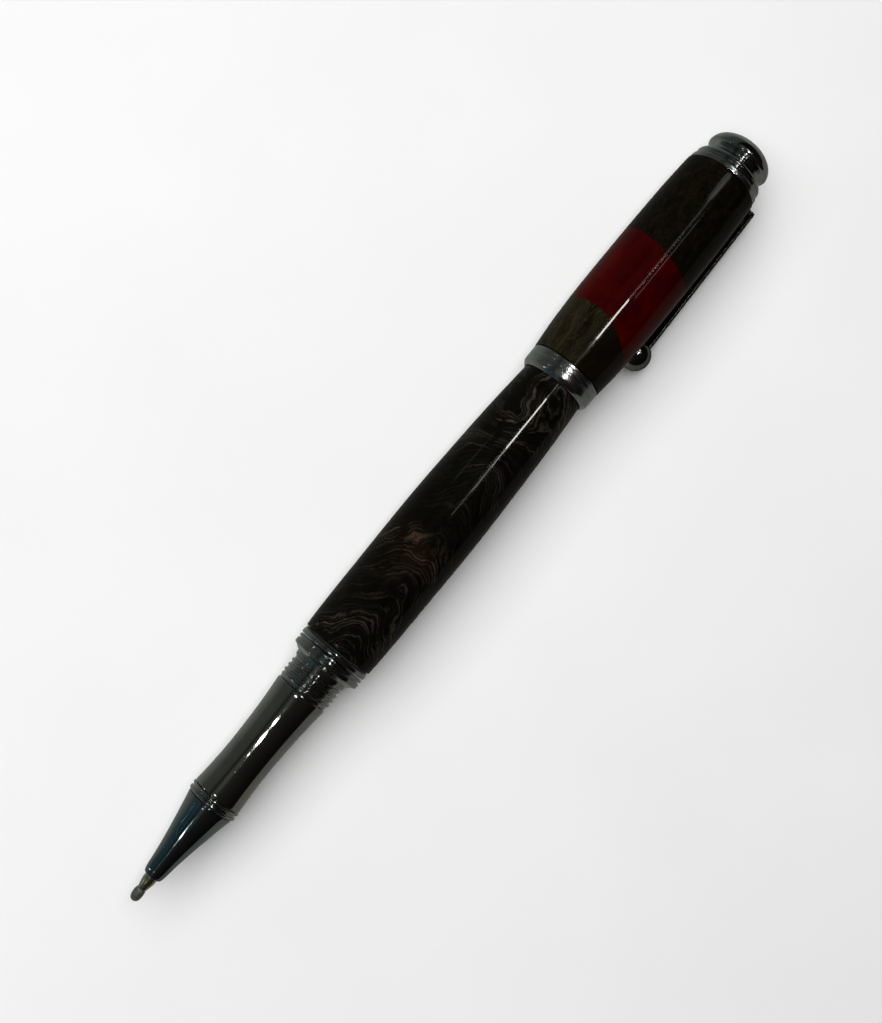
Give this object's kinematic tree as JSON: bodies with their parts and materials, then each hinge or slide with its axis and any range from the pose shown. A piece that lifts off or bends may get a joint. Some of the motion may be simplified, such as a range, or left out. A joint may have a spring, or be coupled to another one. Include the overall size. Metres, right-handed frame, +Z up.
{
  "type": "rollerball pen",
  "caption": "Turned wood rollerball pen with dark mirror-metal fittings, a red band in the cap, and the cap posted on the back of the barrel.",
  "frame": {"origin": "centre of the object's bounding box in plan, at table level", "axes": "+X along the pen from the writing tip to the cap's end, +Z up; the pocket clip leans down towards -Y and its ball rests on the table"},
  "size_m": [0.1634, 0.0198, 0.015],
  "materials": {
    "gunmetal": "mirror-polished dark plating",
    "black_plastic": "satin",
    "dark_burr_wood": "turned and polished under a clear gloss, with tan curl in near-black wood",
    "streaked_burr_wood": "turned and polished under a clear gloss, olive-brown with fine streaks",
    "black_wood": "turned and polished under a clear gloss",
    "red_resin": "polished, slightly see-through dark red",
    "brass": "drawn tube",
    "spring_steel": "bright",
    "tip_metal": "pale bright metal",
    "ball_metal": "polished",
    "white_plastic": "moulded",
    "refill_plastic": "moulded",
    "ink_core": "soaked fibre",
    "sealing_wax": "soft wax"
  },
  "bodies": {
    "barrel": {"front_coupler": "gunmetal", "coupler_band": "gunmetal", "coupler_spacer": "black_plastic", "barrel_blank": "dark_burr_wood", "barrel_tube": "brass", "tail_plug": "gunmetal", "refill_spring": "spring_steel"},
    "cap": {"cap_lip_ring": "gunmetal", "cap_thread_insert": "black_plastic", "cap_tube": "brass", "cap_blank_lower": "streaked_burr_wood", "cap_blank_red": "red_resin", "cap_blank_upper": "black_wood", "cap_top_ring": "gunmetal", "clip_ring": "gunmetal", "finial_stud": "brass", "finial": "gunmetal"},
    "clip": {"clip_arm": "gunmetal", "clip_ball": "gunmetal"},
    "section": {"nose_cone": "gunmetal", "nose_trim_ring": "gunmetal", "grip_shell": "gunmetal", "section_thread_sleeve": "brass", "refill_tip": "tip_metal", "refill_collar": "white_plastic", "refill_tube": "refill_plastic", "refill_ink_core": "ink_core", "refill_end_plug": "white_plastic", "writing_ball": "ball_metal"},
    "bead": {"tip_wax_bead": "sealing_wax"}
  },
  "joints": [
    {"name": "cap_pull", "type": "slide", "parent": "barrel", "child": "cap", "axis": [1, 0, 0], "range_m": [0, 0.02]},
    {"name": "section_unscrew", "type": "slide", "parent": "barrel", "child": "section", "axis": [-1, 0, 0], "range_m": [0, 0.075]},
    {"name": "clip_flex", "type": "hinge", "parent": "cap", "child": "clip", "pos_m": [0.075, -0.00595, 0.00337], "axis": [0, -0.445, 0.8955], "range_deg": [0, 5], "stiffness_Nm_per_rad": 1.5},
    {"name": "bead_peel", "type": "slide", "parent": "section", "child": "bead", "axis": [-1, 0, 0], "range_m": [0, 0.006]}
  ]
}
